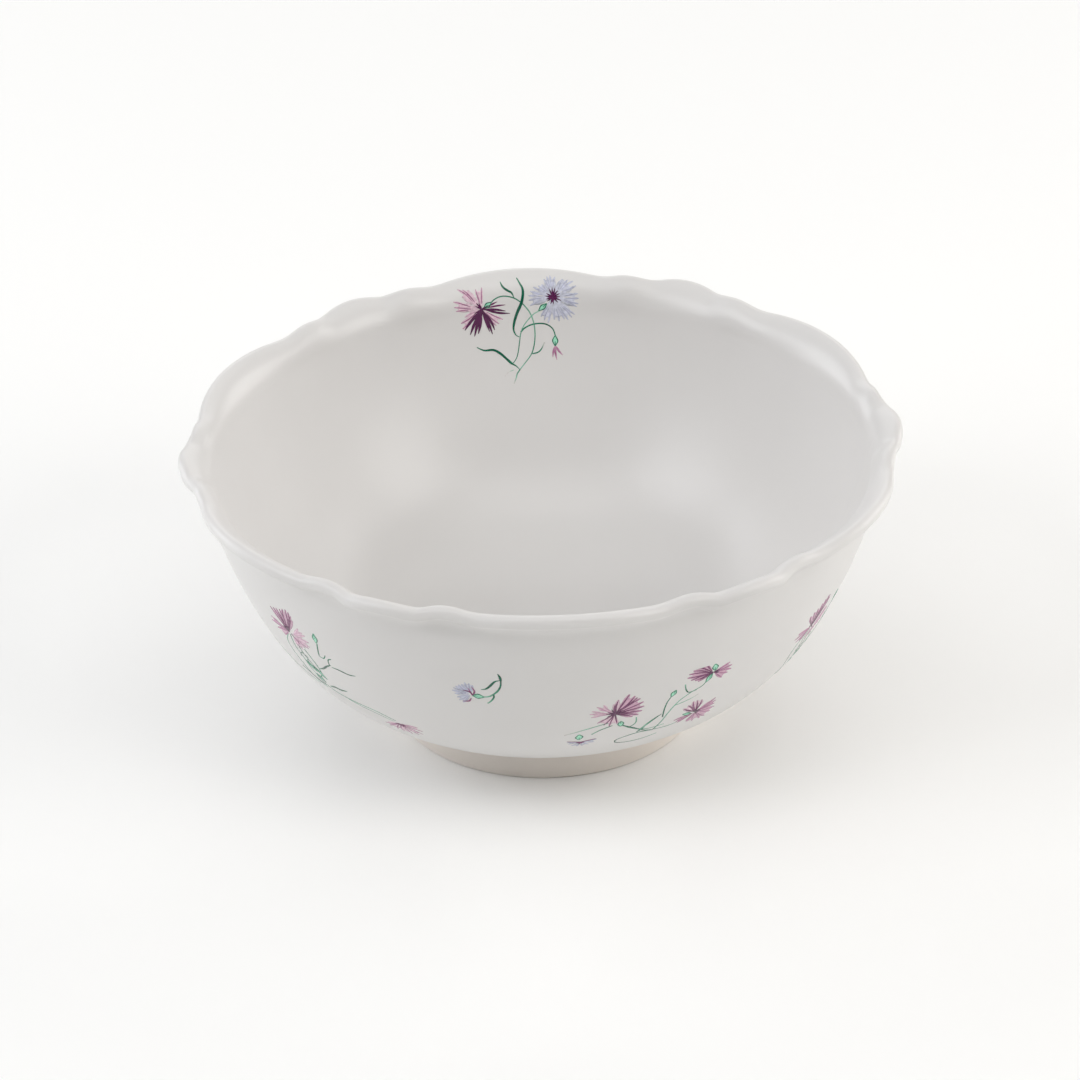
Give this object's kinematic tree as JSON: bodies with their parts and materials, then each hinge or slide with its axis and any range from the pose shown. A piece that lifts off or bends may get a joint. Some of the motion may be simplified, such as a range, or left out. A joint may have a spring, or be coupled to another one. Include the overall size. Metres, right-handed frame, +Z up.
{
  "type": "porcelain serving bowl",
  "caption": "Round porcelain serving bowl with a lobed, turned-out rim, a foot ring and sprays of cornflowers painted inside and out.",
  "frame": {"origin": "centre of the plane the foot ring rests on, on the bowl's axis", "axes": "+Z up along the bowl's axis, +X to the right and -Y to the front as the bowl is seen with its inside spray at the back"},
  "size_m": [0.2576, 0.2578, 0.1108],
  "materials": {
    "porcelain_glaze": "clear gloss glaze over white porcelain",
    "foot_biscuit": "thinly glazed warm white porcelain, bare where it rests",
    "enamel_flower": "glossy plum and lilac overglaze enamel",
    "enamel_green": "glossy emerald to mint overglaze enamel"
  },
  "bodies": {
    "root": {"bowl_body": "porcelain_glaze", "foot_ring": "foot_biscuit", "inside_spray_flowers": "enamel_flower", "inside_spray_foliage": "enamel_green", "left_spray_flowers": "enamel_flower", "left_spray_foliage": "enamel_green", "front_sprig_flowers": "enamel_flower", "front_sprig_foliage": "enamel_green", "right_spray_flowers": "enamel_flower", "right_spray_foliage": "enamel_green", "side_spray_flowers": "enamel_flower", "side_spray_foliage": "enamel_green", "back_sprig_flowers": "enamel_flower", "back_sprig_foliage": "enamel_green", "back_right_spray_flowers": "enamel_flower", "back_right_spray_foliage": "enamel_green", "back_left_spray_flowers": "enamel_flower", "back_left_spray_foliage": "enamel_green", "back_left_sprig_flowers": "enamel_flower", "back_left_sprig_foliage": "enamel_green"}
  },
  "joints": []
}
